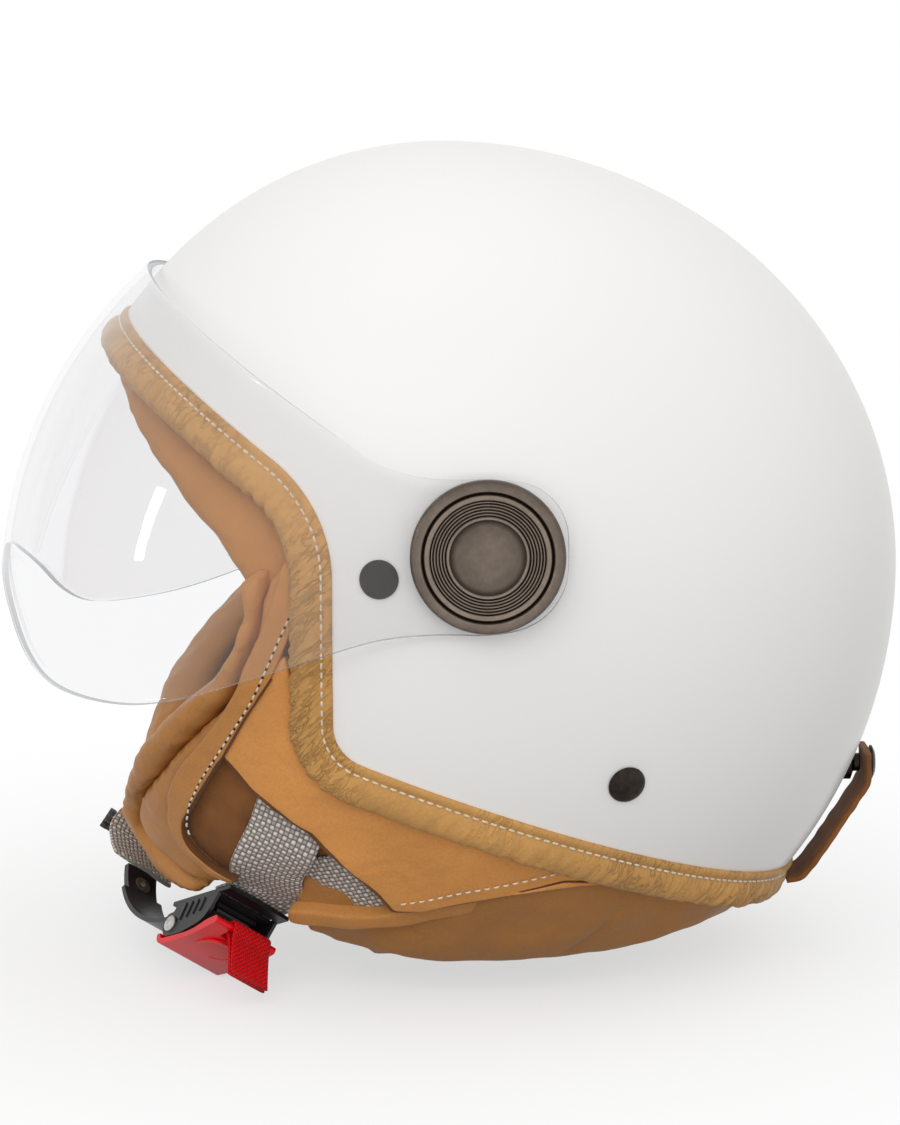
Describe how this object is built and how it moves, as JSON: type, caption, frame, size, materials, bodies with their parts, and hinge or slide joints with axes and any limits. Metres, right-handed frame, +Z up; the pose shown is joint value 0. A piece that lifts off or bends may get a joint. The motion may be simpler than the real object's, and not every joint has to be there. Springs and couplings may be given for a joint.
{
  "type": "open-face motorcycle helmet",
  "caption": "Open-face motorcycle helmet with a clear tilting visor, padded leather liner, webbing chin strap and ratchet buckle.",
  "frame": {"origin": "centre of the head space, where the shell's widest sections meet; the shell is a quarter-ellipsoid form about it", "axes": "+X to the wearer's left, -Y the way the wearer faces, +Z up"},
  "size_m": [0.2536, 0.3109, 0.2821],
  "materials": {
    "shell_paint": "gloss white lacquer over moulded plastic",
    "foam": "expanded polystyrene, fine bead texture",
    "trim_leather": "grained tan leather, wrapped and stitched",
    "liner_leather": "smooth tan nappa leather, padded",
    "lining_fabric": "brushed lining cloth",
    "webbing": "light grey woven webbing",
    "visor_clear": "clear moulded polycarbonate",
    "antique_metal": "antique nickel, brushed",
    "dark_metal": "gunmetal",
    "black_metal": "black satin moulding",
    "bright_steel": "plain steel",
    "red_plastic": "red moulding",
    "red_fabric": "red woven tape"
  },
  "bodies": {
    "helmet": {"shell": "shell_paint", "foam_liner": "foam", "edge_trim": "trim_leather", "brow_liner": "liner_leather", "crown_pad": "lining_fabric", "left_cheek_pad": "liner_leather", "right_cheek_pad": "liner_leather", "left_ear_flap": "liner_leather", "right_ear_flap": "liner_leather", "neck_roll": "liner_leather", "left_pivot_base": "black_metal", "right_pivot_base": "black_metal", "left_insert_nut": "bright_steel", "right_insert_nut": "bright_steel", "strap_rivets": "dark_metal", "strap_washers": "bright_steel", "buckle_housing": "black_metal", "buckle_pin": "bright_steel", "lever_spring": "bright_steel", "left_front_strap": "webbing", "left_back_strap": "webbing", "right_back_strap": "webbing", "goggle_stud": "dark_metal"},
    "visor_shield": {"visor": "visor_clear"},
    "left_knob": {"left_pivot_knob": "antique_metal"},
    "right_knob": {"right_pivot_knob": "antique_metal"},
    "lever": {"buckle_lever": "red_plastic"},
    "tab": {"pull_tab": "red_fabric"},
    "strap_tongue": {"toothed_strip": "black_metal", "strip_eyelet": "bright_steel", "strap_slider": "black_metal", "right_front_strap": "webbing"},
    "goggle_loop": {"goggle_strap": "trim_leather", "goggle_snap": "dark_metal"}
  },
  "joints": [
    {"name": "visor_tilt", "type": "hinge", "parent": "helmet", "child": "visor_shield", "pos_m": [0, 0.0147, 0.024], "axis": [-1, 0, 0], "range_deg": [0, 72]},
    {"name": "left_knob_turn", "type": "hinge", "parent": "helmet", "child": "left_knob", "pos_m": [0.12, 0.0147, 0.024], "axis": [1, 0, 0], "continuous": true},
    {"name": "right_knob_turn", "type": "hinge", "parent": "helmet", "child": "right_knob", "pos_m": [-0.12, 0.0147, 0.024], "axis": [-1, 0, 0], "continuous": true},
    {"name": "buckle_lever_pivot", "type": "hinge", "parent": "helmet", "child": "lever", "pos_m": [0.0507, -0.0825, -0.1214], "axis": [-0.4053, 0.7241, -0.558], "range_deg": [0, 40], "stiffness_Nm_per_rad": 0.02, "springref_deg": -20.05},
    {"name": "pull_tab_swing", "type": "hinge", "parent": "lever", "child": "tab", "pos_m": [0.06878, -0.0648, -0.11515], "axis": [-0.4053, 0.7241, -0.558], "range_deg": [-20, 25], "stiffness_Nm_per_rad": 0.002},
    {"name": "strip_slide", "type": "slide", "parent": "helmet", "child": "strap_tongue", "axis": [0.6556, 0.6556, 0.3746], "range_m": [-0.014, 0.006], "deforming": ["right_front_strap"]},
    {"name": "goggle_strap_lift", "type": "hinge", "parent": "helmet", "child": "goggle_loop", "pos_m": [0, 0.1235, -0.113], "axis": [-1, 0, 0], "range_deg": [0, 70]}
  ]
}
